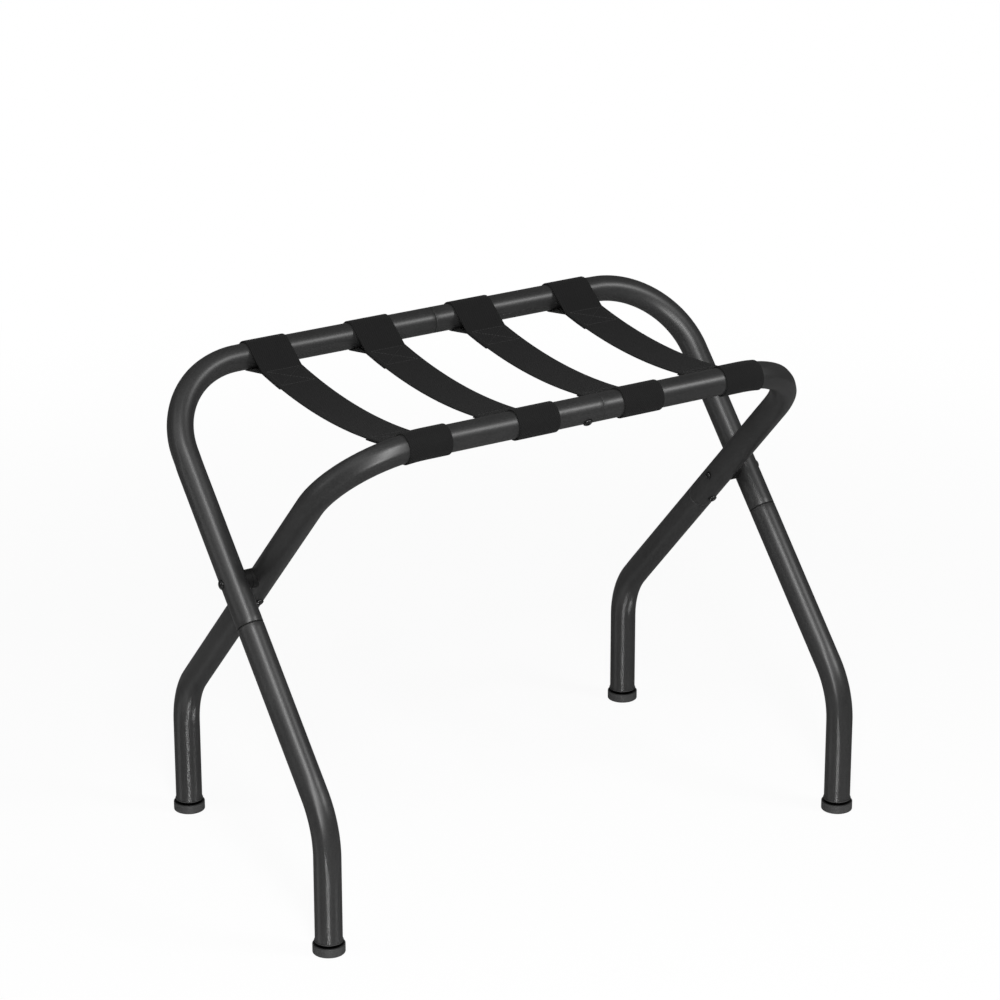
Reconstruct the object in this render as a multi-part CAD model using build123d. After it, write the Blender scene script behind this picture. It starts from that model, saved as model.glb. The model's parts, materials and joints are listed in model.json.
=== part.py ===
from build123d import *

import os
from math import acos, asin, atan2, cos, degrees, pi, sin, sqrt

# Folding luggage rack: two tube frames that cross like scissors, with four webbing straps between their
# top rails. The inner frame has its rail at the front and its feet at the rear, the outer frame the other
# way round. Millimetres, +X to the right, +Y to the rear, +Z up, origin on the floor under the middle.

# Frames, measured to the tubes' centre lines
rail_height = 505.5
rail_reach = 162.0
knee_height = 136.5
foot_reach = 183.0
inner_half_width = 278.0
leg_gap = 6.0
top_bend_radius = 93.0
knee_bend_radius = 86.0

# Tube
tube_diameter = 28.0
tube_wall = 1.2

# Swaged joints between the tubes: the spigot of one slides into the other, with a screw through both
spigot_length = 40.0
spigot_clearance = 0.15
spigot_flare = 3.0
spigot_chamfer = 0.4
rail_joint_x = 15.0
leg_joint_drop = 50.0
joint_screw_setback = 18.0
leg_screw_setback = 17.5
outer_seam_gap = 0.9
inner_seam_gap = 0.2

# Joint screws and their round nuts
screw_shank_diameter = 5.8
screw_length = 13.0
screw_head_diameter = 10.0
screw_head_height = 3.0
screw_head_edge = 1.0
socket_width = 3.5
socket_depth = 1.6
screw_hole_clearance = 0.3
nut_diameter = 10.0
nut_inner_reach = 4.5
seat_clearance = 0.05

# Pivots
rivet_diameter = 6.0
rivet_hole_clearance = 0.05
rivet_head_diameter = 10.0
rivet_head_height = 2.8
rivet_head_edge = 0.8
rivet_roll_diameter = 7.6
rivet_roll_height = 1.8
rivet_roll_round = 1.1
rivet_bore_diameter = 3.4
rivet_bore_depth = 8.0
rivet_end_play = 0.15
saddle_diameter = 20.0
saddle_bore_clearance = 0.1
saddle_face_clearance = 0.05
saddle_chamfer = 0.6

# Foot caps
foot_diameter = 33.2
foot_height = 13.5
foot_floor = 4.0
foot_rim_round = 2.3
foot_base_round = 0.8
foot_groove_width = 1.2
foot_groove_depth = 0.6
foot_groove_radii = (8.0, 12.0)

# Straps
strap_width = 47.0
strap_thickness = 1.5
strap_pitch = 123.0
strap_count = 4
strap_sag = 18.0
strap_clearance = 0.3
strap_joint_gap = 0.3
loop_run = 36.0
stitch_run = 38.0

tube_radius = tube_diameter / 2
bore_radius = tube_radius - tube_wall
spigot_radius = bore_radius - spigot_clearance
spigot_bore_radius = spigot_radius - tube_wall
foot_radius = foot_diameter / 2
tube_end_height = foot_floor + seat_clearance
outer_half_width = inner_half_width + tube_diameter + leg_gap

# The legs cross half way along, so the pivot follows from the rail and the knee
pivot_height = rail_height - (rail_height - knee_height) * rail_reach / (rail_reach + foot_reach)
leg_tilt = atan2(rail_reach, rail_height - pivot_height)


class Frame:
    """One of the two frames. rail_side is -1 for a rail at the front and +1 for one at the rear."""

    def __init__(self, name, half_width, rail_side, seam_gap):
        self.name = name
        self.half_width = half_width
        self.rail_side = rail_side
        self.seam_gap = seam_gap

    def rail_point(self, x):
        return Vector(x, self.rail_side * rail_reach, rail_height)

    def down_leg(self):
        return Vector(0, -self.rail_side * sin(leg_tilt), -cos(leg_tilt))

    def under_leg(self):
        """The way that the underside of the leg faces."""
        return Vector(0, self.rail_side * cos(leg_tilt), -sin(leg_tilt))

    def leg_point(self, side, drop):
        """A point on the leg's centre line, at a distance below the pivot."""
        return Vector(side * self.half_width, 0, pivot_height) + self.down_leg() * drop

    def knee_point(self, side):
        return Vector(side * self.half_width, -self.rail_side * foot_reach, knee_height)

    def foot_point(self, side, height):
        return Vector(side * self.half_width, -self.rail_side * foot_reach, height)


inner_frame = Frame("inner", inner_half_width, -1, inner_seam_gap)
outer_frame = Frame("outer", outer_half_width, 1, outer_seam_gap)
side_names = {-1: "left", 1: "right"}


def rod(start, direction, radius, length):
    """A plain cylinder that starts at a point and runs along a direction."""
    bar = Cylinder(radius, length, align=(Align.CENTER, Align.CENTER, Align.MIN))
    return Plane(start, z_dir=direction) * bar


def through_rod(middle, direction, radius, length):
    """A plain cylinder centred on a point."""
    return Plane(middle, z_dir=direction) * Cylinder(radius, length)


def turned(points):
    """A solid of revolution about Z, from its outline in radius and height."""
    outline = Polyline(*[(radius, 0, height) for radius, height in points], close=True)
    return revolve(make_face(outline), Axis.Z)


def hollow_tube(points, bend_radius):
    path = FilletPolyline(*points, radius=bend_radius)
    start = Plane(path @ 0, z_dir=path % 0)
    return sweep(start * (Circle(tube_radius) - Circle(bore_radius)), path=path)


def spigot(shoulder, direction):
    """The swaged end: it narrows inside the tube and stands out past the shoulder."""
    outline = [
        (tube_radius, -spigot_flare),
        (tube_radius, 0),
        (spigot_radius, 0),
        (spigot_radius, spigot_length - spigot_chamfer),
        (spigot_radius - spigot_chamfer, spigot_length),
        (spigot_bore_radius, spigot_length),
        (spigot_bore_radius, -tube_wall),
        (bore_radius, -spigot_flare),
    ]
    return Plane(shoulder, z_dir=direction) * turned(outline)


def swaged_tube(shoulder, direction, later_points, bend_radius):
    """A tube whose first end is a spigot that points along a direction."""
    start = shoulder - direction * spigot_flare
    return hollow_tube([start, *later_points], bend_radius) + spigot(shoulder, direction)


def screw_hole(point, facing):
    """Takes the screw's hole out of the near wall of a tube."""
    hole_radius = screw_shank_diameter / 2 + screw_hole_clearance
    return rod(point, facing, hole_radius, tube_diameter)


def pivot_hole(frame, side):
    hole_radius = rivet_diameter / 2 + rivet_hole_clearance
    return through_rod(frame.leg_point(side, 0), (1, 0, 0), hole_radius, 2 * tube_diameter)


def rail_screw_x():
    return rail_joint_x - joint_screw_setback


def leg_screw_drop():
    return leg_joint_drop - leg_screw_setback


def upper_tube(frame, side):
    """Half of the rail, the top bend and the leg down to its joint below the pivot."""
    corner = frame.rail_point(side * frame.half_width)
    leg_end = frame.leg_point(side, leg_joint_drop - frame.seam_gap)
    if side < 0:
        rail_end = frame.rail_point(rail_joint_x - frame.seam_gap)
        tube = hollow_tube([rail_end, corner, leg_end], top_bend_radius)
    else:
        shoulder = frame.rail_point(rail_joint_x)
        tube = swaged_tube(shoulder, Vector(-1, 0, 0), [corner, leg_end], top_bend_radius)
    tube -= screw_hole(frame.rail_point(rail_screw_x()), frame.under_leg())
    tube -= screw_hole(frame.leg_point(side, leg_screw_drop()), frame.under_leg())
    return tube - pivot_hole(frame, side)


def lower_leg(frame, side):
    """The leg from its joint, round the knee and straight down into the foot cap."""
    shoulder = frame.leg_point(side, leg_joint_drop)
    later_points = [frame.knee_point(side), frame.foot_point(side, tube_end_height)]
    leg = swaged_tube(shoulder, frame.down_leg() * -1, later_points, knee_bend_radius)
    return leg - screw_hole(frame.leg_point(side, leg_screw_drop()), frame.under_leg())


def domed_head(radius, skirt, edge, height):
    """A low dome on a straight edge, about Z, with a skirt that reaches below zero."""
    outline = [
        Line((0, 0, -skirt), (radius, 0, -skirt)),
        Line((radius, 0, -skirt), (radius, 0, edge)),
        TangentArc((0, 0, height), (radius, 0, edge), tangent=(1, 0, 0)),
        Line((0, 0, height), (0, 0, -skirt)),
    ]
    return revolve(make_face(outline), Axis.Z)


def joint_screw(axis_point, facing):
    """A button-head screw with a hexagon socket, its head standing on the tube."""
    seat = tube_radius + seat_clearance
    head = domed_head(screw_head_diameter / 2, 0, screw_head_edge, screw_head_height)
    shank = rod((0, 0, -screw_length), (0, 0, 1), screw_shank_diameter / 2, screw_length + screw_head_edge)
    socket = extrude(RegularPolygon(socket_width / 2, 6, major_radius=False), socket_depth)
    screw = head + shank - Pos(0, 0, screw_head_height - socket_depth) * socket
    return Plane(axis_point + Vector(*facing) * seat, z_dir=facing) * screw


def joint_nut(axis_point, facing, along):
    """A round nut welded to the inside of the spigot; along is the tube's direction."""
    bore = screw_shank_diameter / 2 + seat_clearance
    body = rod(axis_point + Vector(*facing) * nut_inner_reach, facing, nut_diameter / 2, tube_radius)
    body &= through_rod(axis_point, along, spigot_bore_radius - seat_clearance, 2 * nut_diameter)
    return body - rod(axis_point, facing, bore, tube_radius)


def leg_fasteners(frame, make):
    """A pair of equal pieces at the two leg joints."""
    return Compound(children=[make(frame.leg_point(side, leg_screw_drop())) for side in (-1, 1)])


def leg_screws(frame):
    return leg_fasteners(frame, lambda point: joint_screw(point, frame.under_leg()).solid())


def leg_nuts(frame):
    return leg_fasteners(frame, lambda point: joint_nut(point, frame.under_leg(), frame.down_leg()).solid())


def pivot_rivet(side):
    """The head is saddled to the outer leg, the rolled end turns freely inside the inner leg."""
    head_seat = outer_half_width + tube_radius
    roll_seat = inner_half_width - tube_radius - rivet_end_play
    axis_start = Vector(0, 0, pivot_height)
    out = Vector(side, 0, 0)
    head = domed_head(rivet_head_diameter / 2, tube_radius / 2, rivet_head_edge, rivet_head_height)
    head = Plane(axis_start + out * head_seat, z_dir=out) * head
    leg_middle = outer_frame.leg_point(side, 0)
    head -= through_rod(leg_middle, outer_frame.down_leg(), tube_radius + seat_clearance, 2 * tube_diameter)
    roll_end = axis_start + out * (roll_seat - rivet_roll_height)
    roll = rod(roll_end, out, rivet_roll_diameter / 2, rivet_roll_height)
    roll = fillet(roll.edges().sort_by(Axis((0, 0, 0), out))[0], rivet_roll_round)
    shank = rod(roll_end, out, rivet_diameter / 2, head_seat + rivet_head_edge - roll_seat + rivet_roll_height)
    return head + shank + roll - rod(roll_end, out, rivet_bore_diameter / 2, rivet_bore_depth)


def saddle_washer(frame, side):
    """Its back is hollowed to the leg, its flat face meets the other washer's half way between the legs."""
    towards_middle = 1 if frame.half_width < outer_half_width else -1
    facing = Vector(side * towards_middle, 0, 0)
    leg_middle = frame.leg_point(side, 0)
    washer = rod(leg_middle, facing, saddle_diameter / 2, tube_radius + leg_gap / 2 - saddle_face_clearance)
    face_edge = washer.faces().sort_by(Axis((0, 0, 0), facing))[-1].edges()
    washer = chamfer(face_edge, saddle_chamfer)
    washer -= through_rod(leg_middle, frame.down_leg(), tube_radius + seat_clearance, 2 * tube_diameter)
    hole_radius = rivet_diameter / 2 + saddle_bore_clearance
    return washer - through_rod(leg_middle, (1, 0, 0), hole_radius, 2 * tube_diameter)


def foot_cap(frame, side):
    """A moulded cap that the tube stands in, with a rounded rim and a grooved base."""
    cap = rod((0, 0, 0), (0, 0, 1), foot_radius, foot_height)
    cap = fillet(cap.edges().sort_by(Axis.Z)[-1], foot_rim_round)
    cap = fillet(cap.edges().filter_by(GeomType.CIRCLE).sort_by(Axis.Z)[0], foot_base_round)
    cap -= rod((0, 0, foot_floor), (0, 0, 1), tube_radius + seat_clearance, foot_height)
    for radius in foot_groove_radii:
        outer = Cylinder(radius + foot_groove_width / 2, 2 * foot_groove_depth)
        cap -= outer - Cylinder(radius - foot_groove_width / 2, 2 * foot_groove_depth)
    return Location(frame.foot_point(side, 0)) * cap


# The straps' side profile lies in the YZ plane. Each strap hangs in one shallow arc between the rails'
# axes; near each rail it parts into two layers that run to the top and the bottom of the loop.
loop_inner_radius = tube_radius + strap_clearance
loop_outer_radius = loop_inner_radius + strap_thickness
loop_middle_radius = (loop_inner_radius + loop_outer_radius) / 2
bed_radius = (rail_reach**2 + strap_sag**2) / (2 * strap_sag)
bed_centre_height = rail_height - strap_sag + bed_radius
split_angle = asin((rail_reach - loop_run) / bed_radius)
stitch_angle = asin((rail_reach - loop_run - stitch_run) / bed_radius)


def bed_point(angle, drop):
    """A point on the hanging arc, at an angle from the middle and a distance below the strap's middle layer."""
    radius = bed_radius + drop
    return Vector(radius * sin(angle), bed_centre_height - radius * cos(angle))


def bed_layer(from_angle, to_angle, top_drop, bottom_drop):
    middle = (from_angle + to_angle) / 2
    corners = [
        bed_point(from_angle, top_drop),
        bed_point(to_angle, top_drop),
        bed_point(to_angle, bottom_drop),
        bed_point(from_angle, bottom_drop),
    ]
    edges = [
        ThreePointArc(corners[0], bed_point(middle, top_drop), corners[1]),
        Line(corners[1], corners[2]),
        ThreePointArc(corners[2], bed_point(middle, bottom_drop), corners[3]),
        Line(corners[3], corners[0]),
    ]
    return make_face(edges)


def bend_overhang(x, frame):
    """How far the inside of the top bend comes down under the edge of a strap that reaches onto it."""
    over = max(0, abs(x) + strap_width / 2 - (frame.half_width - top_bend_radius))
    inside_radius = top_bend_radius - tube_radius
    return inside_radius - sqrt(inside_radius**2 - over**2)


def loop_centres(overhang):
    """The rear loop's two centres: the rail's axis for its top, and the bend's place for its bottom."""
    top = Vector(rail_reach, rail_height)
    return top, top - Vector(sin(leg_tilt), cos(leg_tilt)) * overhang


def tangent_angle(point, centre, up):
    """Where a layer that comes from a point touches a circle round a centre, at its top or its bottom."""
    from_centre = point - centre
    base = atan2(from_centre.Y, from_centre.X) % (2 * pi)
    spread = acos(loop_middle_radius / from_centre.length)
    return base - spread if up else base + spread


def loop_layer(point, centre, up):
    """The straight layer from the stitching to the loop, as a strip of the strap's thickness."""
    angle = tangent_angle(point, centre, up)
    outward = Vector(cos(angle), sin(angle))
    touch = centre + outward * loop_middle_radius
    half = outward * (strap_thickness / 2)
    return make_face(Polyline(point + half, touch + half, touch - half, point - half, close=True))


def upper_split():
    return bed_point(split_angle, 0)


def lower_split():
    return bed_point(split_angle, strap_thickness)


def across_strap(profile, x):
    """Gives a side profile the strap's width, centred on x."""
    band = extrude(Plane.YZ * profile, strap_width / 2, both=True)
    return Pos(x, 0, 0) * band


def web_end(overhang):
    """The rear end of a web: the sewn-down layer and the two layers that part towards the loop."""
    half = strap_thickness / 2
    top_centre, bottom_centre = loop_centres(overhang)
    sewn = bed_layer(stitch_angle, split_angle, half, half + strap_thickness)
    upper = loop_layer(upper_split(), top_centre, True)
    return sewn + upper + loop_layer(lower_split(), bottom_centre, False)


def strap_web(x):
    half = strap_thickness / 2
    profile = bed_layer(-split_angle, split_angle, -half, half)
    profile += web_end(bend_overhang(x, outer_frame))
    profile += mirror(web_end(bend_overhang(x, inner_frame)), Plane.YZ)
    return across_strap(profile, x)


def strap_loop(x, frame, gap):
    """The part of the strap that wraps the rail, from the top layer round the far side to the bottom one."""
    top_centre, bottom_centre = loop_centres(bend_overhang(x, frame))
    trim = gap / loop_middle_radius
    top_angle = tangent_angle(upper_split(), top_centre, True) - trim
    turn_angle = leg_tilt - pi / 2
    bottom_angle = tangent_angle(lower_split(), bottom_centre, False) - 2 * pi + trim
    profile = loop_arc(top_centre, turn_angle, top_angle) + loop_arc(bottom_centre, bottom_angle, turn_angle)
    if top_centre != bottom_centre:
        profile += loop_slant(top_centre, bottom_centre, turn_angle)
    if frame.rail_side < 0:
        profile = mirror(profile, Plane.YZ)
    return across_strap(profile, x)


def loop_arc(centre, start, end):
    size = degrees(end - start)
    outer = CenterArc(centre, loop_outer_radius, degrees(start), size)
    inner = CenterArc(centre, loop_inner_radius, degrees(start), size)
    return make_face([outer, inner, Line(outer @ 0, inner @ 0), Line(outer @ 1, inner @ 1)])


def loop_slant(top_centre, bottom_centre, angle):
    """The straight stretch that joins the loop's two arcs where it reaches onto the bend."""
    outward = Vector(cos(angle), sin(angle))
    corners = [
        top_centre + outward * loop_inner_radius,
        top_centre + outward * loop_outer_radius,
        bottom_centre + outward * loop_outer_radius,
        bottom_centre + outward * loop_inner_radius,
    ]
    return make_face(Polyline(*corners, close=True))


def strap_positions():
    first = -strap_pitch * (strap_count - 1) / 2
    return [first + strap_pitch * index for index in range(strap_count)]


def frame_nodes(frame, rail_name):
    rail_screw_point = frame.rail_point(rail_screw_x())
    nodes = {
        rail_name + "_rail_screw": joint_screw(rail_screw_point, frame.under_leg()),
        rail_name + "_rail_nut": joint_nut(rail_screw_point, frame.under_leg(), (1, 0, 0)),
        frame.name + "_leg_screws": leg_screws(frame),
        frame.name + "_leg_nuts": leg_nuts(frame),
    }
    for side, side_name in side_names.items():
        nodes[frame.name + "_tube_" + side_name] = upper_tube(frame, side)
        nodes[frame.name + "_leg_" + side_name] = lower_leg(frame, side)
        nodes[frame.name + "_saddle_" + side_name] = saddle_washer(frame, side)
        nodes[frame.name + "_foot_" + side_name] = foot_cap(frame, side)
    return nodes


def strap_nodes():
    nodes = {}
    for number, x in enumerate(strap_positions(), start=1):
        nodes[f"strap_{number}_web"] = strap_web(x)
        nodes[f"strap_{number}_rear_loop"] = strap_loop(x, outer_frame, 0)
        nodes[f"strap_{number}_front_loop"] = strap_loop(x, inner_frame, strap_joint_gap)
    return nodes


def main():
    os.makedirs("parts", exist_ok=True)
    nodes = frame_nodes(inner_frame, "front") | frame_nodes(outer_frame, "rear") | strap_nodes()
    for side, side_name in side_names.items():
        nodes["pivot_rivet_" + side_name] = pivot_rivet(side)
    for name, shape in nodes.items():
        export_step(shape, f"parts/{name}.step")


main()
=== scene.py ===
import json
from itertools import product
from math import acos, asin, atan2, ceil, cos, pi, radians, sin, sqrt, tan
import bpy
from mathutils import Euler, Matrix, Vector


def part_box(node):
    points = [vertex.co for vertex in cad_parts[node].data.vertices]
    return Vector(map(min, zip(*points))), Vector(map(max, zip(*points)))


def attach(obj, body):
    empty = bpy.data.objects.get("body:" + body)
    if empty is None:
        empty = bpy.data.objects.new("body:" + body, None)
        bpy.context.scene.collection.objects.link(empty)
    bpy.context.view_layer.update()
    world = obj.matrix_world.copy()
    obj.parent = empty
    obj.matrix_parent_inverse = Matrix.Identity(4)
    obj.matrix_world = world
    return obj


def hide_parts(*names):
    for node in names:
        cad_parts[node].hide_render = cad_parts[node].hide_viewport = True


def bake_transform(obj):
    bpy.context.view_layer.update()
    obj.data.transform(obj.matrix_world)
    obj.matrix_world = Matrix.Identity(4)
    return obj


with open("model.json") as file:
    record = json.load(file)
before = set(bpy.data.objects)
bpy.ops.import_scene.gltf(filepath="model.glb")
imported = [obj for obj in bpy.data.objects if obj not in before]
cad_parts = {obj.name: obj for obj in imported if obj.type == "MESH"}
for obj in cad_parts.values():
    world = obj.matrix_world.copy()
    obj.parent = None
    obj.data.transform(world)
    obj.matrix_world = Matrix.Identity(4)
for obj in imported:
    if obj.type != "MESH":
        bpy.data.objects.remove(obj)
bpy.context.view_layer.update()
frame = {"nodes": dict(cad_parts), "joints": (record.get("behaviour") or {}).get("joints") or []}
print("frame loaded")


class Wire:
    # a socket that Python's sums work on
    def __init__(self, net, socket):
        self.net = net
        self.socket = socket

    def __add__(self, other):
        return self.net.sum("ADD", self, other)

    def __sub__(self, other):
        return self.net.sum("SUBTRACT", self, other)

    def __rsub__(self, other):
        return self.net.sum("SUBTRACT", other, self)

    def __mul__(self, other):
        return self.net.sum("MULTIPLY", self, other)

    def __truediv__(self, other):
        return self.net.sum("DIVIDE", self, other)

    def __pow__(self, other):
        return self.net.sum("POWER", self, other)

    __radd__ = __add__
    __rmul__ = __mul__


class Net:
    # adds nodes to one tree
    def __init__(self, tree):
        self.tree = tree

    def plug(self, socket, value):
        if isinstance(value, Wire):
            self.tree.links.new(value.socket, socket)
        else:
            socket.default_value = value

    def node(self, kind, settings=None, inputs=None, output=0):
        made = self.tree.nodes.new(kind)
        for name, value in (settings or {}).items():
            setattr(made, name, value)
        for name, value in (inputs or {}).items():
            self.plug(made.inputs[name], value)
        return Wire(self, made.outputs[output])

    def sum(self, operation, a, b=0.0):
        return self.node("ShaderNodeMath", {"operation": operation}, {0: a, 1: b})

    def vector(self, operation, a, b=(0, 0, 0), output=0):
        return self.node("ShaderNodeVectorMath", {"operation": operation}, {0: a, 1: b}, output)

    def ramp(self, value, low, high, toLow=0.0, toHigh=1.0, smooth=True):
        shape = "SMOOTHSTEP" if smooth else "LINEAR"
        sizes = {"Value": value, "From Min": low, "From Max": high, "To Min": toLow, "To Max": toHigh}
        return self.node("ShaderNodeMapRange", {"interpolation_type": shape, "clamp": True}, sizes)


def grey(level, warmth=0.0):
    # an sRGB level from 0 to 255 as a linear colour
    linear = ((level / 255 + 0.055) / 1.055) ** 2.4
    return (linear * (1 + warmth), linear, linear * (1 - warmth), 1)


class Finish(Net):
    # a material with one principled shader
    def __init__(self, name, **constants):
        self.material = bpy.data.materials.new(name)
        self.material.use_nodes = True
        super().__init__(self.material.node_tree)
        self.shader = self.tree.nodes["Principled BSDF"]
        for socket, value in constants.items():
            self.shader.inputs[socket.replace("_", " ")].default_value = value

    def place(self):
        return self.node("ShaderNodeTexCoord", output="Object")

    def noise(self, place, size, detail=2.0, roughness=0.5):
        # size is the width of one spot, in metres
        inputs = {"Vector": place, "Scale": 1 / size, "Detail": detail, "Roughness": roughness}
        return self.node("ShaderNodeTexNoise", {"noise_dimensions": "3D"}, inputs, "Fac")

    def blend(self, share, dark, light):
        # a colour mix has its colours in sockets 6 and 7, and its result in 2
        return self.node("ShaderNodeMix", {"data_type": "RGBA"}, {0: share, 6: dark, 7: light}, 2)

    def bump(self, height, depth, below=None):
        inputs = {"Height": height, "Distance": depth, "Strength": 1.0}
        if below is not None:
            inputs["Normal"] = below
        return self.node("ShaderNodeBump", {}, inputs)

    def set(self, **sockets):
        for socket, value in sockets.items():
            self.plug(self.shader.inputs[socket.replace("_", " ")], value)
        return self.material


class Shaper(Net):
    # a geometry tree with named inputs: Geometry first, then sizes, then Material
    kinds = {float: "NodeSocketFloat", int: "NodeSocketInt", Vector: "NodeSocketVector"}

    def __init__(self, name, sizes):
        group = bpy.data.node_groups.new(name, "GeometryNodeTree")
        super().__init__(group)
        group.interface.new_socket("Geometry", in_out="INPUT", socket_type="NodeSocketGeometry")
        for size, kind in sizes.items():
            socketKind = kind if isinstance(kind, str) else self.kinds[kind]
            group.interface.new_socket(size, in_out="INPUT", socket_type=socketKind)
        group.interface.new_socket("Material", in_out="INPUT", socket_type="NodeSocketMaterial")
        group.interface.new_socket("Geometry", in_out="OUTPUT", socket_type="NodeSocketGeometry")
        self.entry = group.nodes.new("NodeGroupInput")

    def given(self, name):
        return Wire(self, self.entry.outputs[name])

    def close(self, geometry):
        # every tree ends in real geometry with a material
        real = self.node("GeometryNodeRealizeInstances", {}, {"Geometry": geometry})
        pieces = {"Geometry": real, "Material": self.given("Material")}
        leave = self.tree.nodes.new("NodeGroupOutput")
        self.plug(leave.inputs["Geometry"], self.node("GeometryNodeSetMaterial", {}, pieces))
        return self.tree


def grow(name, points, edges, tree, values, attributes=None):
    # runs a tree on a few points and keeps what it makes as a plain mesh
    seed = bpy.data.meshes.new(name + "Seed")
    seed.from_pydata([tuple(p) for p in points], edges, [])
    for label, vectors in (attributes or {}).items():
        layer = seed.attributes.new(label, "FLOAT_VECTOR", "POINT")
        for item, vector in zip(layer.data, vectors):
            item.vector = vector
    source = bpy.data.objects.new(name + "Seed", seed)
    bpy.context.scene.collection.objects.link(source)
    modifier = source.modifiers.new("grow", "NODES")
    modifier.node_group = tree
    for item in tree.interface.items_tree:
        if item.in_out == "INPUT" and item.name in values:
            modifier[item.identifier] = values[item.name]
    made = settle(source, name)
    bpy.data.meshes.remove(seed)
    return made


def settle(source, name):
    # an object's modifiers become its mesh, and its place stays in that mesh
    bpy.context.view_layer.update()
    result = source.evaluated_get(bpy.context.evaluated_depsgraph_get())
    mesh = bpy.data.meshes.new_from_object(result)
    mesh.name = name
    bpy.data.objects.remove(source)
    made = bpy.data.objects.new(name, mesh)
    bpy.context.scene.collection.objects.link(made)
    return made


def makeObject(name, points, faces, material=None):
    mesh = bpy.data.meshes.new(name)
    mesh.from_pydata([tuple(p) for p in points], [], faces)
    mesh.validate()
    made = bpy.data.objects.new(name, mesh)
    bpy.context.scene.collection.objects.link(made)
    if material:
        mesh.materials.append(material)
    return made


# the angles, in degrees, that edges have to pass to be kept crisp
crisp = dict(turned=40, cloth=60)


def smooth(made, angle):
    # soft shading, with edges sharper than the angle kept crisp
    for face in made.data.polygons:
        face.use_smooth = True
    made.data.set_sharp_from_angle(angle=radians(angle))
    return made


# lengths are in metres; topFlat and kneeFlat are how far the outsides of the bends are flattened,
# and flatFrom and bulgeFrom say how squarely a face has to look out or in to be moved
tube = dict(radius=0.014, wall=0.0012, topBend=0.093, kneeBend=0.086, topFlat=0.0012, kneeFlat=0.0007,
            flatFrom=0.72, bulgeFrom=0.5, bulge=0.25, fade=0.016, sides=72, bendRings=44,
            ringStep=0.006, rim=0.00022, rimAngle=50)
# seam is the gap that shows where two tubes meet
joints = dict(spigotRadius=0.01265, spigotLength=0.040, railJointX=0.015, legDrop=0.050,
              seam={"inner": 0.0005, "outer": 0.0014}, shoulder=0.0008,
              railScrewX=-0.003, legScrewDrop=0.0325)

pivotHeight = frame["joints"][0]["pos_m"][2]


class TubeFrame:
    # railSide is -1 where the rail is at the front and +1 where it is at the rear
    def __init__(self, name, railSide):
        self.name = name
        self.body = name + "_frame"
        self.railSide = railSide
        low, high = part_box(name + "_tube_left")
        footLow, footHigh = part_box(name + "_foot_left")
        self.half = -low[0] - tube["radius"]
        self.railHeight = high[2] - tube["radius"]
        self.railReach = max(abs(low[1]), abs(high[1])) - tube["radius"]
        self.footReach = abs(footLow[1] + footHigh[1]) / 2
        self.tilt = atan2(self.railReach, self.railHeight - pivotHeight)
        self.kneeHeight = pivotHeight - self.footReach / tan(self.tilt)

    def rail(self, x):
        return Vector((x, self.railSide * self.railReach, self.railHeight))

    def downLeg(self):
        return Vector((0, -self.railSide * sin(self.tilt), -cos(self.tilt)))

    def underLeg(self):
        return Vector((0, self.railSide * cos(self.tilt), -sin(self.tilt)))

    def leg(self, side, drop):
        return Vector((side * self.half, 0, pivotHeight)) + self.downLeg() * drop

    def knee(self, side):
        return Vector((side * self.half, -self.railSide * self.footReach, self.kneeHeight))

    def foot(self, side, height):
        return Vector((side * self.half, -self.railSide * self.footReach, height))


innerFrame = TubeFrame("inner", -1)
outerFrame = TubeFrame("outer", 1)
sides = {"left": -1, "right": 1}
print("main lines: pivot at", round(pivotHeight, 4), "rail at", round(innerFrame.railHeight, 4))


# grooves are the middles of the two rings in the base
foot = dict(radius=0.0166, wallHeight=0.0093, wall=0.0013, wallRound=0.0004, moat=0.006,
            sleeve=0.0144, lipRadius=0.0148, lipFrom=0.0126, lipSlope=0.0002, lipRound=0.0004,
            height=0.0134, baseRound=0.0008, bore=0.01405, boreEdge=0.0001, floor=0.004,
            groove=0.0012, grooveDepth=0.0006, grooveSlope=0.0001, grooves=(0.012, 0.008), sides=96)


powder = dict(dark=31, light=43, roughness=0.31, grain=0.0013, grainDepth=0.00002, peel=0.0055,
              peelDepth=0.000008, cloud=0.06)


def paintPowderCoat():
    # satin black powder coat: a fine grain over a soft orange peel
    paint = Finish("powderCoat")
    place = paint.place()
    grain = paint.noise(place, powder["grain"], detail=2, roughness=0.6)
    peel = paint.noise(place, powder["peel"], detail=1)
    cloud = paint.noise(place, powder["cloud"], detail=2)
    shade = paint.ramp(grain * 0.7 + cloud * 0.3, 0.35, 0.68)
    colour = paint.blend(shade, grey(powder["dark"]), grey(powder["light"]))
    relief = paint.bump(grain, powder["grainDepth"], below=paint.bump(peel, powder["peelDepth"]))
    roughness = powder["roughness"] + grain * 0.12 + cloud * 0.04
    return paint.set(Base_Color=colour, Roughness=roughness, Normal=relief)


# the last four values set the painted shade on the neck: its grey level, where it starts above the wall,
# where it is full, and how it fades out under the lip
moulded = dict(dark=40, light=52, paintedNeckShade=3, roughness=0.5, grain=0.0006, grainDepth=0.00003, cloud=0.012,
               paintedShadeFrom=0.00005, paintedShadeFull=0.0003, paintedShadeFade=0.0002)


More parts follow.
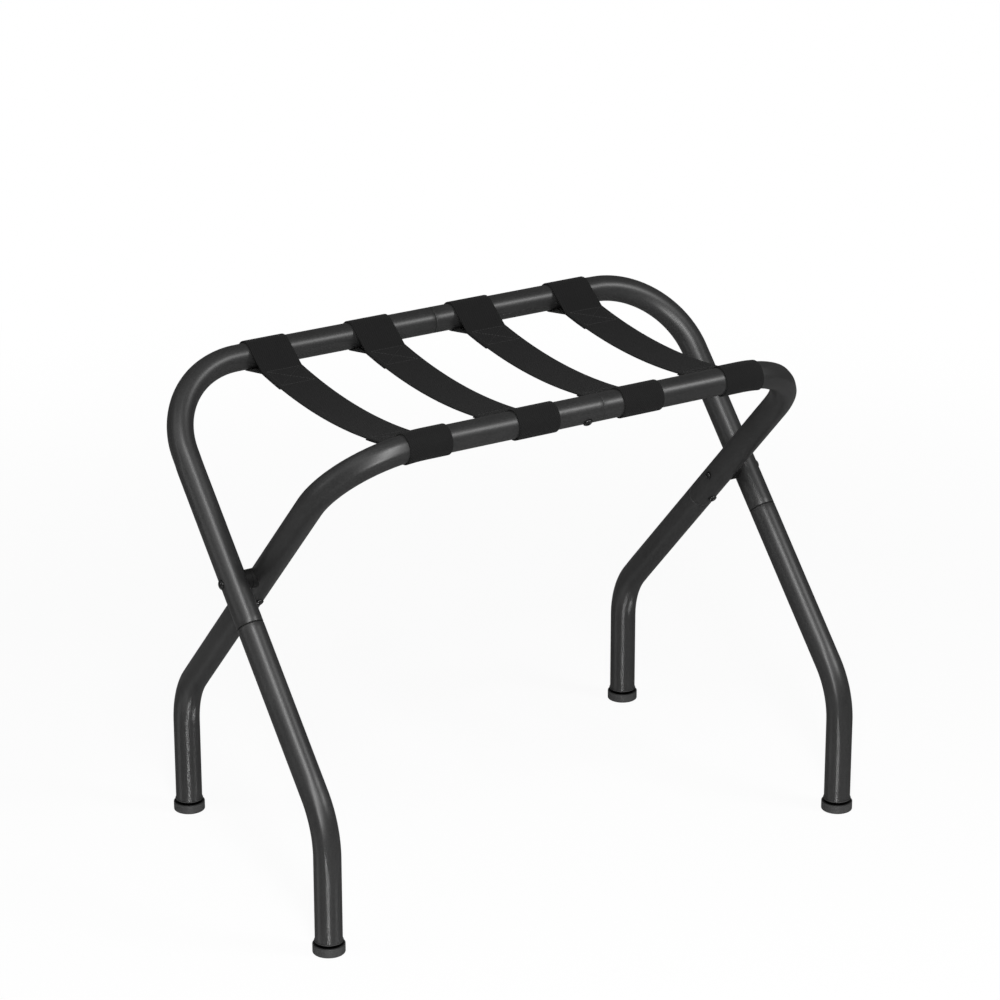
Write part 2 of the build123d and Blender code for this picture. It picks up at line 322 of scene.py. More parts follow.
def paintFootPlasticAndShade():
    # the wall's fine moulded texture looks grey, and the neck between wall and lip gets painted shade:
    # near-black, with Metallic on that black taking its gloss away
    paint = Finish("footPlastic")
    place = paint.place()
    grain = paint.noise(place, moulded["grain"], detail=3)
    cloud = paint.noise(place, moulded["cloud"])
    height = paint.node("ShaderNodeSeparateXYZ", {}, {0: place}, "Z")
    wall, lip = foot["wallHeight"], foot["lipFrom"]
    # painted shade: between the wall's top and the lip the colour turns near-black and its gloss is
    # taken away
    aboveWall = paint.ramp(height, wall + moulded["paintedShadeFrom"], wall + moulded["paintedShadeFull"])
    underLip = paint.ramp(height, lip - moulded["paintedShadeFade"], lip, 1.0, 0.0)
    paintedNeckShade = aboveWall * underLip
    outside = paint.blend(cloud, grey(moulded["dark"]), grey(moulded["light"]))
    colour = paint.blend(paintedNeckShade, outside, grey(moulded["paintedNeckShade"]))
    relief = paint.bump(grain, moulded["grainDepth"])
    roughness = moulded["roughness"] + cloud * 0.1
    return paint.set(Base_Color=colour, Roughness=roughness, Metallic=paintedNeckShade, Normal=relief)


saddle = dict(dark=8, light=16, roughness=0.5, cloud=0.004)


def paintSaddlePlastic():
    paint = Finish("saddlePlastic", Specular_IOR_Level=0.25)
    cloud = paint.noise(paint.place(), saddle["cloud"])
    colour = paint.blend(cloud, grey(saddle["dark"]), grey(saddle["light"]))
    return paint.set(Base_Color=colour, Roughness=saddle["roughness"] + cloud * 0.15)


blackened = dict(dark=48, light=120, roughness=0.16, rub=0.0016, rubDepth=0.00003)


def paintBlackSteel():
    # blackened steel, with the black rubbed thinner in places
    paint = Finish("blackSteel", Metallic=0.85)
    rub = paint.noise(paint.place(), blackened["rub"], detail=3)
    share = paint.ramp(rub, 0.5, 0.75)
    colour = paint.blend(share, grey(blackened["dark"]), grey(blackened["light"]))
    relief = paint.bump(rub, blackened["rubDepth"])
    return paint.set(Base_Color=colour, Roughness=blackened["roughness"] + rub * 0.2, Normal=relief)


bright = dict(dark=150, light=190, roughness=0.25, brush=0.0007)


def paintBrightSteel():
    paint = Finish("brightSteel", Metallic=1.0)
    brushed = paint.noise(paint.place(), bright["brush"])
    colour = paint.blend(brushed, grey(bright["dark"]), grey(bright["light"]))
    return paint.set(Base_Color=colour, Roughness=bright["roughness"] + brushed * 0.2)


# warp and weft are the widths of one cord across and along the strap; dark and light are the colours
# painted on the cords' low and high points, a painted shade in the weave
weave = dict(dark=8, light=26, roughness=0.78, warp=0.00115, weft=0.0014, depth=0.00022,
             fuzz=0.0004, patch=0.02)


def paintWebbing():
    # plain weave on the strap's own map, in metres: x across the strap, y along it
    paint = Finish("webbing", Specular_IOR_Level=0.16, Sheen_Weight=0.03, Sheen_Roughness=0.5)
    flat = paint.node("ShaderNodeUVMap", {"uv_map": "strapMap"}, output="UV")
    across = paint.node("ShaderNodeSeparateXYZ", {}, {0: flat}, "X") / weave["warp"]
    along = paint.node("ShaderNodeSeparateXYZ", {}, {0: flat}, "Y") / weave["weft"]
    # a warp cord is up where it crosses over a weft, and cords beside each other take turns
    turn = paint.sum("FLOOR", across) * pi
    cord = paint.sum("ABSOLUTE", paint.sum("SINE", across * pi))
    over = paint.sum("SINE", along * pi + turn) * 0.5 + 0.5
    height = (cord ** 0.6) * (0.35 + over * 0.65)
    fuzz = paint.noise(paint.place(), weave["fuzz"])
    patch = paint.noise(paint.place(), weave["patch"])
    # the cords' low points are painted darker as painted shade in the weave, and a random fuzz varies
    # the tone too
    shade = paint.ramp(height * 0.8 + fuzz * 0.3, 0.15, 0.95)
    colour = paint.blend(shade, grey(weave["dark"]), grey(weave["light"]))
    relief = paint.bump(height + fuzz * 0.25, weave["depth"])
    return paint.set(Base_Color=colour, Roughness=weave["roughness"] + patch * 0.15, Normal=relief)


cotton = dict(dark=24, light=40, roughness=0.45, fuzz=0.0003)


def paintThread():
    paint = Finish("thread")
    fuzz = paint.noise(paint.place(), cotton["fuzz"])
    colour = paint.blend(fuzz, grey(cotton["dark"]), grey(cotton["light"]))
    return paint.set(Base_Color=colour, Roughness=cotton["roughness"] + fuzz * 0.2)


finishes = dict(powderCoat=paintPowderCoat(), footPlastic=paintFootPlasticAndShade(),
                saddlePlastic=paintSaddlePlastic(), blackSteel=paintBlackSteel(),
                brightSteel=paintBrightSteel(), webbing=paintWebbing(), thread=paintThread())


def finishPiece(made, finish, body=None, replaces=()):
    if not made.data.materials:
        made.data.materials.append(finishes[finish])
    if replaces:
        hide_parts(*replaces)
    if body:
        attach(made, body)
    return made


print("finishes mixed")


def bentTubeTree():
    # sweeps a round tube along a bent path, thins its swaged end and flattens the outside of the bend
    tree = Shaper("bentTube", {"Bend radius": float, "Bend centre": Vector, "Tube radius": float,
                               "Spigot radius": float, "Spigot length": float, "Shoulder": float,
                               "Flat": float, "Fade": float, "Sides": int})
    path = tree.node("GeometryNodeMeshToCurve", {}, {"Mesh": tree.given("Geometry")})
    kept = tree.tree.nodes.new("GeometryNodeCaptureAttribute")
    kept.capture_items.new("VECTOR", "Middle")
    tree.plug(kept.inputs[0], path)
    tree.plug(kept.inputs[1], tree.node("GeometryNodeInputPosition"))
    axis, middle = Wire(tree, kept.outputs[0]), Wire(tree, kept.outputs[1])
    # the swaged end is thinner up to its shoulder
    along = tree.node("GeometryNodeSplineParameter", output="Length")
    thin = tree.given("Spigot radius") / tree.given("Tube radius")
    shoulder = tree.given("Spigot length")
    width = tree.ramp(along, shoulder - tree.given("Shoulder"), shoulder, thin, 1.0, smooth=False)
    ring = tree.node("GeometryNodeCurvePrimitiveCircle", {"mode": "RADIUS"},
                     {"Resolution": tree.given("Sides"), "Radius": tree.given("Tube radius")})
    skin = tree.node("GeometryNodeCurveToMesh", {},
                     {"Curve": axis, "Profile Curve": ring, "Scale": width})
    # outwards is away from the bend's centre; past is how far a point lies beyond the bend's end
    spoke = tree.vector("SUBTRACT", middle, tree.given("Bend centre"))
    outwards = tree.vector("NORMALIZE", spoke)
    reach = tree.vector("LENGTH", spoke, output="Value")
    radius = tree.given("Bend radius")
    past = tree.sum("SQRT", tree.sum("MAXIMUM", reach * reach - radius * radius, 0.0))
    inBend = tree.ramp(past, 0.0, tree.given("Fade"), 1.0, 0.0)
    place = tree.node("GeometryNodeInputPosition")
    side = tree.vector("NORMALIZE", tree.vector("SUBTRACT", place, middle))
    facing = tree.vector("DOT_PRODUCT", side, outwards, output="Value")
    depth = inBend * tree.given("Flat")
    # the inside of a bend bulges by a share of what its outside is flattened by
    bulged = tree.ramp(facing * -1.0, tube["bulgeFrom"], 1.0) * depth * tube["bulge"]
    outward = bulged - tree.ramp(facing, tube["flatFrom"], 1.0) * depth
    shift = tree.node("ShaderNodeVectorMath", {"operation": "SCALE"}, {0: side, "Scale": outward})
    shaped = tree.node("GeometryNodeSetPosition", {}, {"Geometry": skin, "Offset": shift})
    soft = tree.node("GeometryNodeSetShadeSmooth", {}, {"Geometry": shaped, "Shade Smooth": True})
    return tree.close(soft)


def straightRun(start, end, step):
    # evenly spaced points from start to just before end
    count = max(1, ceil((end - start).length / step))
    return [start.lerp(end, i / count) for i in range(count)]


def bendRun(centre, first, onwards, radius, turn, count):
    # points along the bend, from where it starts to just before its end
    spoke = (first - centre).normalized()
    angles = [turn * i / count for i in range(count)]
    return [centre + (spoke * cos(a) + onwards * sin(a)) * radius for a in angles]


def makeTube(node, body, start, corner, end, bendRadius, flat, spigot=0.0):
    # start, corner and end are on the tube's middle line; spigot is the length of a swaged first end
    before = (start - corner).normalized()
    after = (end - corner).normalized()
    half = before.angle(after) / 2
    tangent = bendRadius / tan(half)
    centre = corner + (before + after).normalized() * (bendRadius / sin(half))
    points = []
    runStart = start
    if spigot:
        runStart = start - before * spigot
        points += [start, runStart + before * joints["shoulder"]]
    bendStart, bendEnd = corner + before * tangent, corner + after * tangent
    points += straightRun(runStart, bendStart, tube["ringStep"])
    points += bendRun(centre, bendStart, -before, bendRadius, pi - 2 * half, tube["bendRings"])
    points += straightRun(bendEnd, end, tube["ringStep"]) + [end]
    values = {"Bend radius": bendRadius, "Bend centre": centre, "Tube radius": tube["radius"],
              "Spigot radius": joints["spigotRadius"], "Spigot length": spigot,
              "Shoulder": joints["shoulder"], "Flat": flat, "Fade": tube["fade"],
              "Sides": tube["sides"], "Material": finishes["powderCoat"]}
    edges = [(i, i + 1) for i in range(len(points) - 1)]
    name = node.replace("_tube_", "Tube_").replace("_leg_", "Leg_")
    made = grow(name, points, edges, bentTube, values)
    wall = made.modifiers.new("wall", "SOLIDIFY")
    wall.thickness = tube["wall"]
    wall.offset = -1
    rim = made.modifiers.new("rim", "BEVEL")
    rim.width = tube["rim"]
    rim.segments = 2
    rim.limit_method = "ANGLE"
    rim.angle_limit = radians(tube["rimAngle"])
    made = settle(made, made.name)
    smooth(made, tube["rimAngle"])
    return finishPiece(made, "powderCoat", body, [node])


bentTube = bentTubeTree()
tubes = []
for legs in (innerFrame, outerFrame):
    for label, side in sides.items():
        seam = joints["seam"][legs.name]
        corner = legs.rail(side * legs.half)
        legEnd = legs.leg(side, joints["legDrop"] - seam)
        # the right tube's spigot goes into the left tube
        spigot = 0.0 if side < 0 else joints["spigotLength"]
        railEnd = legs.rail(joints["railJointX"] - (seam if side < 0 else spigot))
        tubes.append(makeTube(f"{legs.name}_tube_{label}", legs.body, railEnd, corner, legEnd,
                              tube["topBend"], tube["topFlat"], spigot))
        legTop = legs.leg(side, joints["legDrop"] - joints["spigotLength"])
        legFoot = legs.foot(side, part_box(f"{legs.name}_leg_{label}")[0][2])
        tubes.append(makeTube(f"{legs.name}_leg_{label}", legs.body, legTop, legs.knee(side), legFoot,
                              tube["kneeBend"], tube["kneeFlat"], joints["spigotLength"]))
print("tubes bent:", len(tubes))


def turn(name, rings, count):
    # a closed shape round Z; a ring is (radius, height), and a radius may be a function of the angle
    points, faces = [], []
    for radius, height in rings:
        for i in range(count):
            angle = 2 * pi * i / count
            reach = radius(angle) if callable(radius) else radius
            points.append((reach * cos(angle), reach * sin(angle), height))
    for r in range(len(rings) - 1):
        for i in range(count):
            j = (i + 1) % count
            faces.append((r * count + i, r * count + j, (r + 1) * count + j, (r + 1) * count + i))
    # a fan of faces closes each end
    for first, height, flip in ((0, rings[0][1], True), ((len(rings) - 1) * count, rings[-1][1], False)):
        pole = len(points)
        points.append((0, 0, height))
        for i in range(count):
            a, b = first + i, first + (i + 1) % count
            faces.append((b, a, pole) if flip else (a, b, pole))
    return makeObject(name, points, faces)


def arcRings(middleRadius, middleHeight, radius, fromAngle, toAngle, count):
    # rings along a round in the outline, angles in degrees from outwards
    rings = []
    for i in range(count + 1):
        angle = radians(fromAngle + (toAngle - fromAngle) * i / count)
        rings.append((middleRadius + radius * cos(angle), middleHeight + radius * sin(angle)))
    return rings


def footRings():
    # from the middle of the base outwards, up the wall, down into the gap, up the neck and down the bore
    rings = []
    for middle in reversed(foot["grooves"]):
        inner, outer = middle - foot["groove"] / 2, middle + foot["groove"] / 2
        depth = foot["grooveDepth"]
        slope = foot["grooveSlope"]
        rings += [(inner, 0), (inner + slope, depth), (outer - slope, depth), (outer, 0)]
    base, edge, lip = foot["baseRound"], foot["wallRound"], foot["lipRound"]
    inside = foot["radius"] - foot["wall"]
    rings += arcRings(foot["radius"] - base, base, base, -90, 0, 5)
    rings += arcRings(foot["radius"] - edge, foot["wallHeight"] - edge, edge, 0, 90, 4)
    rings += arcRings(inside + edge, foot["wallHeight"] - edge, edge, 90, 180, 3)
    rings += [(inside, foot["moat"]), (foot["sleeve"], foot["moat"]), (foot["sleeve"], foot["lipFrom"])]
    rings += [(foot["lipRadius"], foot["lipFrom"] + foot["lipSlope"])]
    rings += arcRings(foot["lipRadius"] - lip, foot["height"] - lip, lip, 0, 90, 4)
    bore, boreEdge = foot["bore"], foot["boreEdge"]
    rings += [(bore + boreEdge, foot["height"]), (bore, foot["height"] - boreEdge)]
    rings += [(bore, foot["floor"])]
    return rings


for legs in (innerFrame, outerFrame):
    for label, side in sides.items():
        node = f"{legs.name}_foot_{label}"
        made = turn(f"{legs.name}Foot_{label}", footRings(), foot["sides"])
        made.data.transform(Matrix.Translation(legs.foot(side, 0)))
        smooth(made, crisp["turned"])
        finishPiece(made, "footPlastic", legs.body, [node])
print("feet turned")


# mouth and flare are times the socket's own size: the round that it opens in, and its flared top
screw = dict(headRadius=0.005, headHeight=0.003, edge=0.001, edgeRound=0.0003, chamfer=0.0002,
             domeRings=8, mouth=1.25, flare=1.04, flareRise=0.00005, flareDepth=0.00015,
             socket=0.0035, socketDepth=0.0016, shankRadius=0.0029, length=0.013, seat=0.00005,
             count=48, seed=3)


def domeHeight(radius, headRadius, edge, height):
    # the height of a shallow dome at a radius: an arc from the edge to the top
    rise = height - edge
    ball = (headRadius ** 2 + rise ** 2) / (2 * rise)
    return height - ball + sqrt(ball ** 2 - radius ** 2)


def hexagon(across):
    # a radius as a function of the angle, for a hexagon of this width across its flats
    return lambda angle: across / 2 / cos((angle + pi / 6) % (pi / 3) - pi / 6)


def screwRings():
    head, edge, height = screw["headRadius"], screw["edge"], screw["headHeight"]
    chamfer, shank, socket = screw["chamfer"], screw["shankRadius"], screw["socket"]
    mouth = socket / 2 * screw["mouth"]
    rings = [(shank, -screw["length"]), (shank, 0), (head - chamfer, 0)]
    rings += [(head, chamfer), (head, edge - screw["edgeRound"])]
    domeEnd = head - screw["edgeRound"] / 2
    for i in range(screw["domeRings"] + 1):
        radius = domeEnd - (domeEnd - mouth) * i / screw["domeRings"]
        rings.append((radius, domeHeight(radius, head, edge, height)))
    mouthHeight = domeHeight(mouth, head, edge, height)
    rings.append((hexagon(socket * screw["flare"]), mouthHeight + screw["flareRise"]))
    rings.append((hexagon(socket), mouthHeight - screw["flareDepth"]))
    rings.append((hexagon(socket), height - screw["socketDepth"]))
    return rings


def standingTree():
    # stands one shape on every point, Z along the point's facing, each turned by a fixed random angle
    tree = Shaper("standing", {"Shape": "NodeSocketObject", "Seed": int, "Turn": float})
    facing = tree.node("GeometryNodeInputNamedAttribute", {"data_type": "FLOAT_VECTOR"},
                       {"Name": "facing"})
    aligned = tree.node("FunctionNodeAlignRotationToVector", {"axis": "Z"}, {"Vector": facing})
    # sockets 2 and 3 are the least and the greatest angle
    limits = {2: 0.0, 3: tree.given("Turn"), "Seed": tree.given("Seed")}
    angle = tree.node("FunctionNodeRandomValue", {"data_type": "FLOAT"}, limits, 1)
    euler = tree.node("ShaderNodeCombineXYZ", {}, {"Z": angle})
    spin = tree.node("FunctionNodeEulerToRotation", {}, {0: euler})
    turned = tree.node("FunctionNodeRotateRotation", {"rotation_space": "LOCAL"}, {0: aligned, 1: spin})
    shape = tree.node("GeometryNodeObjectInfo", {"transform_space": "ORIGINAL"},
                      {"Object": tree.given("Shape"), "As Instance": True}, "Geometry")
    placed = tree.node("GeometryNodeInstanceOnPoints", {},
                       {"Points": tree.given("Geometry"), "Instance": shape, "Rotation": turned})
    return tree.close(placed)


standing = standingTree()


def stand(name, shape, places, facings, finish, body, replaces, seed):
    values = {"Shape": shape, "Seed": seed, "Turn": 2 * pi, "Material": finishes[finish]}
    made = grow(name, places, [], standing, values, {"facing": facings})
    return finishPiece(made, finish, body, replaces)


screwShape = smooth(turn("screwShape", screwRings(), screw["count"]), crisp["turned"])
railScrews = ((innerFrame, "front_rail_screw"), (outerFrame, "rear_rail_screw"))
for more, (legs, railNode) in enumerate(railScrews):
    reach = tube["radius"] + screw["seat"]
    under = legs.underLeg()
    places = [legs.rail(joints["railScrewX"]) + under * reach]
    places += [legs.leg(side, joints["legScrewDrop"]) + under * reach for side in sides.values()]
    stand(legs.name + "Screws", screwShape, places, [under] * 3, "blackSteel", legs.body,
          [railNode, legs.name + "_leg_screws"], screw["seed"] + more)
bpy.data.objects.remove(screwShape)
print("screws set")


# domeStep is the angle, in degrees, from one of the dome's rings to the next
rivet = dict(headRadius=0.005, headHeight=0.0028, edge=0.0008, chamfer=0.0002, domeRings=9,
             domeStep=9.5, shankRadius=0.003, skirt=0.0011, rollRadius=0.0042, rollHeight=0.0019,
             rollRound=0.0011, bore=0.0017, boreDepth=0.008, boreRound=0.0004, endPlay=0.00015,
             count=48, seed=9)


def rivetRings():
    # the head's top at the upper end, the rolled end with its bore at the lower end
    head, edge, height = rivet["headRadius"], rivet["edge"], rivet["headHeight"]
    grip = (outerFrame.half + tube["radius"]) - (innerFrame.half - tube["radius"] - rivet["endPlay"])
    rollEnd = -grip - rivet["rollHeight"]
    bore, mouth, roll = rivet["bore"], rivet["boreRound"], rivet["rollRound"]
    shank, skirt = rivet["shankRadius"], rivet["skirt"]
    rings = [(bore, rollEnd + rivet["boreDepth"]), (bore, rollEnd + mouth)]
    rings += arcRings(bore + mouth, rollEnd + mouth, mouth, 180, 270, 3)
    rings += arcRings(rivet["rollRadius"] - roll, rollEnd + roll, roll, -90, 0, 6)
    rings += [(rivet["rollRadius"], -grip), (shank, -grip), (shank, -skirt)]
    rings += [(head, -skirt), (head, edge - rivet["chamfer"])]
    for i in range(1, rivet["domeRings"] + 1):
        radius = head * cos(radians(i * rivet["domeStep"]))
        rings.append((radius, domeHeight(radius, head, edge, height)))
    return rings


rivetShape = smooth(turn("rivetShape", rivetRings(), rivet["count"]), crisp["turned"])
for label, side in sides.items():
    place = Vector((side * (outerFrame.half + tube["radius"]), 0, pivotHeight))
    stand(f"pivotRivet_{label}", rivetShape, [place], [Vector((side, 0, 0))], "blackSteel",
          outerFrame.body, [f"pivot_rivet_{label}"], rivet["seed"])
bpy.data.objects.remove(rivetShape)
print("rivets set")


# the saddles and the nuts stay as the frame has them
for node, made in frame["nodes"].items():
    if "saddle" in node:
        made.data.materials[0] = finishes["saddlePlastic"]
    elif "nut" in node:
        made.data.materials[0] = finishes["brightSteel"]


# pastRail is how far beyond the rails' middle lines a strap's ends reach
strap = dict(width=0.047, thickness=0.0015, sag=0.018, clearance=0.0003, loopRun=0.036,
             stitchRun=0.038, edgeRound=0.00055, pastRail=0.004, columns=24, webSteps=24,
             slopeSteps=7, turnSteps=28, sewnSteps=12)
# outline is one stitch's shape, as shares of its radius and of half its length
stitch = dict(length=0.0026, pitch=0.0033, radius=0.00026, sunk=0.00006, boxWidth=0.038,
              inset=0.0025, count=8,
              outline=((0.45, -1), (0.85, -0.8), (1, -0.4), (1, 0.4), (0.85, 0.8), (0.45, 1)))


def strapMiddle(number):
    low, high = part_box(f"strap_{number}_web")
    return (low[0] + high[0]) / 2


class StrapLine:
    # the strap's side view at one place across it, as points with the way its upper face looks
    def __init__(self, x):
        self.x = x
        reach = innerFrame.railReach
        self.radius = (reach ** 2 + strap["sag"] ** 2) / (2 * strap["sag"])
        self.middle = innerFrame.railHeight - strap["sag"] + self.radius
        self.split = asin((reach - strap["loopRun"]) / self.radius)
        self.sewnEnd = asin((reach - strap["loopRun"] - strap["stitchRun"]) / self.radius)
        self.loopRadius = tube["radius"] + strap["clearance"] + strap["thickness"] / 2

    def bed(self, angle, drop=0.0):
        radius = self.radius + drop
        return Vector((radius * sin(angle), self.middle - radius * cos(angle)))

    def bedFacing(self, angle):
        return Vector((-sin(angle), cos(angle)))

    def overhang(self, legs):
        # how far the rail's middle line has come down the bend here
        over = max(0.0, abs(self.x) - (legs.half - tube["topBend"]))
        return tube["topBend"] - sqrt(tube["topBend"] ** 2 - over ** 2)

    def loop(self, legs):
        # one half of the strap from the middle outwards and back, seen with the rail on the right
        drop = Vector((sin(legs.tilt), cos(legs.tilt))) * self.overhang(legs)
        centre = Vector((legs.railReach, legs.railHeight)) - drop
        upper, lower = self.bed(self.split), self.bed(self.split, strap["thickness"])
        top = self.touch(upper, centre, True)
        bottom = self.touch(lower, centre, False) - 2 * pi
        points = []
        for i in range(strap["webSteps"]):
            angle = self.split * i / strap["webSteps"]
            points.append((self.bed(angle), self.bedFacing(angle)))
        points += self.slope(upper, centre, top)
        for i in range(strap["turnSteps"] + 1):
            angle = top + (bottom - top) * i / strap["turnSteps"]
            out = Vector((cos(angle), sin(angle)))
            points.append((centre + out * self.loopRadius, out))
        points += reversed(self.slope(lower, centre, bottom))
        for i in range(1, strap["sewnSteps"] + 1):
            angle = self.split + (self.sewnEnd - self.split) * i / strap["sewnSteps"]
            points.append((self.bed(angle, strap["thickness"]), -self.bedFacing(angle)))
        return points

    def slope(self, point, centre, angle):
        # the straight run between the bed and the loop
        out = Vector((cos(angle), sin(angle)))
        end = centre + out * self.loopRadius
        steps = strap["slopeSteps"]
        return [(point.lerp(end, i / steps), out) for i in range(steps)]

    def touch(self, point, centre, up):
        # the angle at which a straight run from the point meets the loop
        fromCentre = point - centre
        base = atan2(fromCentre.y, fromCentre.x) % (2 * pi)
        spread = acos(self.loopRadius / fromCentre.length)
        return base - spread if up else base + spread

    def sewn(self, across, share, end, upper):
        # a point on the sewn length's upper or lower face, a share of the way along the seam
        inset = stitch["inset"] / self.radius
        near, far = self.split - inset, self.sewnEnd + inset
        angle = near + (far - near) * share
        off = strap["thickness"] / 2 - stitch["sunk"]
        if upper:
            at = self.bed(angle) + self.bedFacing(angle) * off
        else:
            at = self.bed(angle, strap["thickness"]) - self.bedFacing(angle) * off
        return Vector((self.x + across, at.x * end, at.y))

    def whole(self):
        rear = self.loop(outerFrame)
        front = [(Vector((-p.x, p.y)), Vector((-n.x, n.y))) for p, n in self.loop(innerFrame)]
        return list(reversed(front)) + rear[1:]


def strapSection():
    # the strap's cut across: offsets from the middle, as (across, up), round the outline
    half, thick, edge = strap["width"] / 2, strap["thickness"] / 2, strap["edgeRound"]
    count = strap["columns"]
    top = [(-half + edge + (2 * half - 2 * edge) * i / count, thick) for i in range(count + 1)]
    turns = [radians(degrees) for degrees in (36, 72, 108, 144)]
    side = [(half - edge + edge * sin(a), thick * cos(a)) for a in turns]
    bottom = [(-x, -y) for x, y in top]
    otherSide = [(-x, -y) for x, y in side]
    return top + side + bottom + otherSide


def spanStraps(made):
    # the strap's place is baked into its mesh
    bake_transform(made)


def makeStrap(number, seams):
    middle = strapMiddle(number)
    section = strapSection()
    lines = {across: StrapLine(middle + across).whole() for across, up in section}
    centreLine = [place for place, facing in StrapLine(middle).whole()]
    stations = len(centreLine)
    lengths = [0.0]
    for here, onwards in zip(centreLine, centreLine[1:]):
        lengths.append(lengths[-1] + (onwards - here).length)
    points, faces = [], []
    for i in range(stations):
        for across, up in section:
            place, facing = lines[across][i]
            at = place + facing * up
            points.append((middle + across, at.x, at.y))
    count = len(section)
    for i in range(stations - 1):
        for j in range(count):
            k = (j + 1) % count
            faces.append((i * count + j, i * count + k, (i + 1) * count + k, (i + 1) * count + j))
    # one face closes each cut end
    last = (stations - 1) * count
    faces += [tuple(range(count)), tuple(reversed(range(last, last + count)))]
    made = makeObject(f"strap_{number}", points, faces)
    mapLayer = made.data.uv_layers.new(name="strapMap")
    for loop in made.data.loops:
        station, item = divmod(loop.vertex_index, count)
        mapLayer.data[loop.index].uv = (section[item][0] + strap["width"] / 2, lengths[station])
    smooth(made, crisp["cloth"])
    finishPiece(made, "webbing", None,
                [f"strap_{number}_web", f"strap_{number}_front_loop", f"strap_{number}_rear_loop"])
    spanStraps(made)
    return made


def stitchRings():
    half, radius = stitch["length"] / 2, stitch["radius"]
    return [(radius * wide, half * high) for wide, high in stitch["outline"]]


def seamRuns():
    # a box with a cross in it on the strap's own plane: pairs of (across, share of the sewn length)
    half = stitch["boxWidth"] / 2
    corners = [(-half, 0.0), (half, 0.0), (half, 1.0), (-half, 1.0)]
    box = [(corners[i], corners[(i + 1) % 4]) for i in range(4)]
    return box + [(corners[0], corners[2]), (corners[1], corners[3])]


def between(start, stop, share):
    return tuple(a + (b - a) * share for a, b in zip(start, stop))


def makeSeams(number, shape):
    middle = strapMiddle(number)
    line = StrapLine(middle)
    places, facings = [], []
    for end, upper, (start, stop) in product((-1, 1), (True, False), seamRuns()):
        run = line.sewn(*stop, end, upper) - line.sewn(*start, end, upper)
        count = max(1, round(run.length / stitch["pitch"]))
        for i in range(count):
            # each stitch fills the middle of its share of the run
            shares = [(i + part) / count for part in (0.1, 0.9)]
            first, last = (line.sewn(*between(start, stop, share), end, upper) for share in shares)
            places.append((first + last) / 2)
            facings.append((last - first).normalized())
    made = stand(f"strapSeams_{number}", shape, places, facings, "thread", None, (), number)
    for face in made.data.polygons:
        face.use_smooth = True
    spanStraps(made)
    return made


stitchShape = smooth(turn("stitchShape", stitchRings(), stitch["count"]), crisp["cloth"])
for number in (1, 2, 3, 4):
    makeStrap(number, makeSeams(number, stitchShape))
bpy.data.objects.remove(stitchShape)
print("straps sewn")


studio = dict(floorSize=30.0, floorDrop=0.0002, floorColour=0.85, glossDrop=0.56, floorGlow=0.92,
              glowFrom=0.7, glowTo=1.8, floorPolish=0.7, polishRoughness=0.15, polishReach=0.32,
              polishFade=0.12, worldLight=0.12, lampAim=(0, 0, 0.3))


def paintFloor():
    # mostly plain white to the camera, and it mirrors light on to what is close to it
    paint = bpy.data.materials.new("floorPaint")
    paint.use_nodes = True
    net = Net(paint.node_tree)
    paint.node_tree.nodes.clear()
    white = (1, 1, 1, 1)
    mirrored = net.node("ShaderNodeLightPath", output="Is Glossy Ray")
    colour = studio["floorColour"] - mirrored * studio["glossDrop"]
    matt = net.node("ShaderNodeBsdfDiffuse", {}, {"Color": colour})
    shiny = net.node("ShaderNodeBsdfAnisotropic", {},
                     {"Color": white, "Roughness": studio["polishRoughness"]})
    plain = net.node("ShaderNodeEmission", {}, {"Color": white, "Strength": 1.0})
    away = net.node("ShaderNodeLightPath", output="Ray Length")
    polishEnd = studio["polishReach"] + studio["polishFade"]
    polish = net.ramp(away, studio["polishReach"], polishEnd, studio["floorPolish"], 0.0)
    polished = net.node("ShaderNodeMixShader", {}, {0: mirrored * polish, 1: matt, 2: shiny})
    seen = net.node("ShaderNodeLightPath", output="Is Camera Ray")
    # far from the rack the floor turns plain white
    place = net.node("ShaderNodeNewGeometry", output="Position")
    distance = net.vector("LENGTH", place, output="Value")
    glow = net.ramp(distance, studio["glowFrom"], studio["glowTo"], studio["floorGlow"], 1.0)
    mixed = net.node("ShaderNodeMixShader", {}, {0: seen * glow, 1: polished, 2: plain})
    leave = paint.node_tree.nodes.new("ShaderNodeOutputMaterial")
    net.plug(leave.inputs["Surface"], mixed)
    return paint


def makeStudio():
    half = studio["floorSize"] / 2
    corners = [(-half, -half, 0), (half, -half, 0), (half, half, 0), (-half, half, 0)]
    floor = makeObject("floor", corners, [(0, 1, 2, 3)], paintFloor())
    floor.location.z = -studio["floorDrop"]
    world = bpy.data.worlds.new("studio")
    bpy.context.scene.world = world
    world.use_nodes = True
    net = Net(world.node_tree)
    world.node_tree.nodes.clear()
    seen = net.node("ShaderNodeLightPath", output="Is Camera Ray")
    level = seen * (1 - studio["worldLight"]) + studio["worldLight"]
    sky = net.node("ShaderNodeBackground", {}, {"Color": (1, 1, 1, 1), "Strength": level})
    leave = world.node_tree.nodes.new("ShaderNodeOutputWorld")
    net.plug(leave.inputs["Surface"], sky)


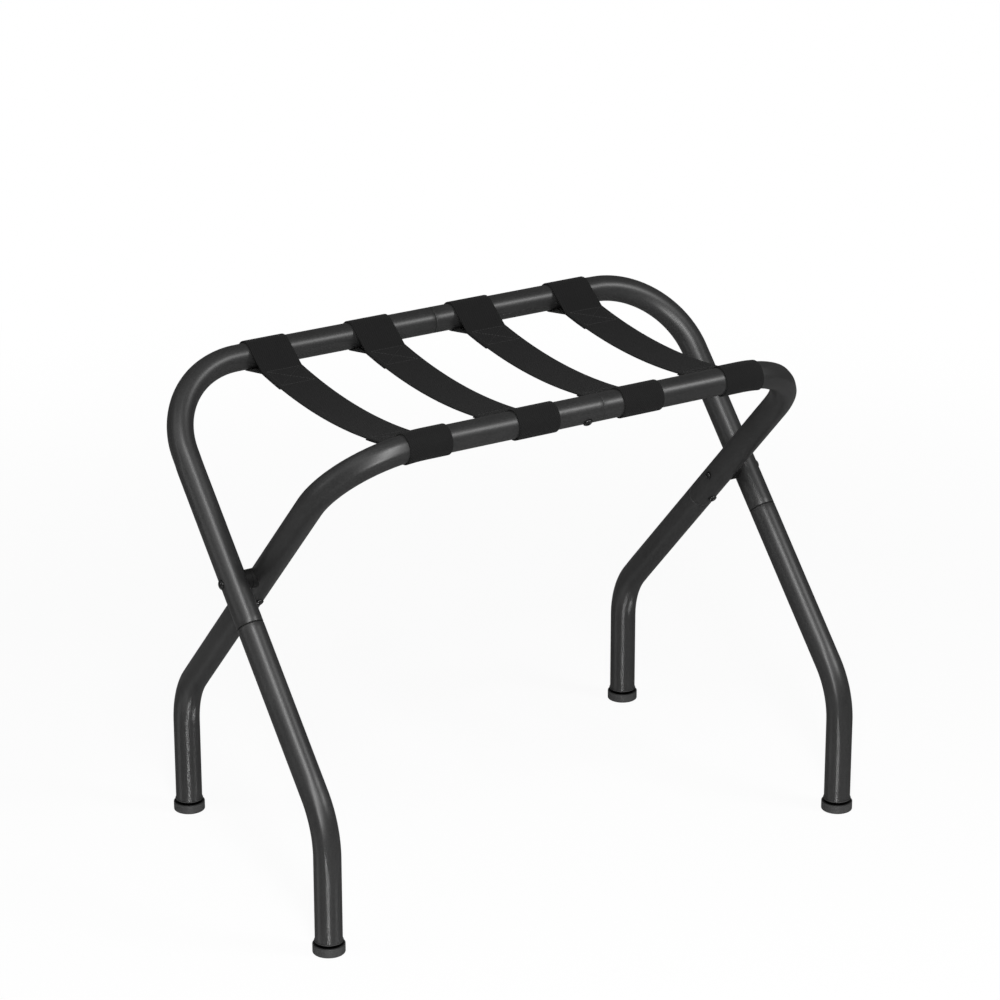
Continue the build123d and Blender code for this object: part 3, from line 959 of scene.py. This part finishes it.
def makeLamp(name, azimuth, elevation, distance, size, power):
    # a soft box that looks at the rack's middle; azimuth 0 is the front, and it grows to the right
    lamp = bpy.data.lights.new(name, "AREA")
    lamp.shape = "RECTANGLE"
    lamp.size, lamp.size_y = size
    lamp.energy = power
    made = bpy.data.objects.new(name, lamp)
    bpy.context.scene.collection.objects.link(made)
    around, up = radians(azimuth), radians(elevation)
    away = Vector((sin(around) * cos(up), -cos(around) * cos(up), sin(up)))
    made.location = Vector(studio["lampAim"]) + away * distance
    made.rotation_euler = away.to_track_quat("Z", "Y").to_euler()
    return made


lamps = dict(
    key=dict(azimuth=38, elevation=38, distance=3.0, size=(0.9, 0.4), power=31),
    high=dict(azimuth=-28, elevation=49, distance=3.0, size=(0.42, 1.5), power=53),
    front=dict(azimuth=-32, elevation=20, distance=3.0, size=(0.25, 0.9), power=35),
    side=dict(azimuth=-108, elevation=15, distance=3.0, size=(0.8, 1.4), power=6),
    wide=dict(azimuth=-85, elevation=48, distance=3.0, size=(2.2, 1.6), power=12),
)
makeStudio()
for name, lamp in lamps.items():
    makeLamp(name, **lamp)

camera = dict(place=(-1.95624, -3.17258, 1.78393), azimuth=-31.673, elevation=20.947, roll=-0.073,
              lens=138.43, sensor=36, clip=(0.05, 60))


def makeCamera():
    lens = bpy.data.cameras.new("camera")
    lens.lens = camera["lens"]
    lens.sensor_width = camera["sensor"]
    lens.clip_start, lens.clip_end = camera["clip"]
    made = bpy.data.objects.new("camera", lens)
    bpy.context.scene.collection.objects.link(made)
    azimuth, elevation = radians(camera["azimuth"]), radians(camera["elevation"])
    back = Vector((sin(azimuth) * cos(elevation), -cos(azimuth) * cos(elevation), sin(elevation)))
    made.location = camera["place"]
    made.rotation_mode = "QUATERNION"
    level = back.to_track_quat("Z", "Y")
    made.rotation_quaternion = level @ Euler((0, 0, radians(camera["roll"]))).to_quaternion()
    bpy.context.scene.camera = made


makeCamera()
bpy.context.scene.view_settings.view_transform = "Standard"
print("studio set")
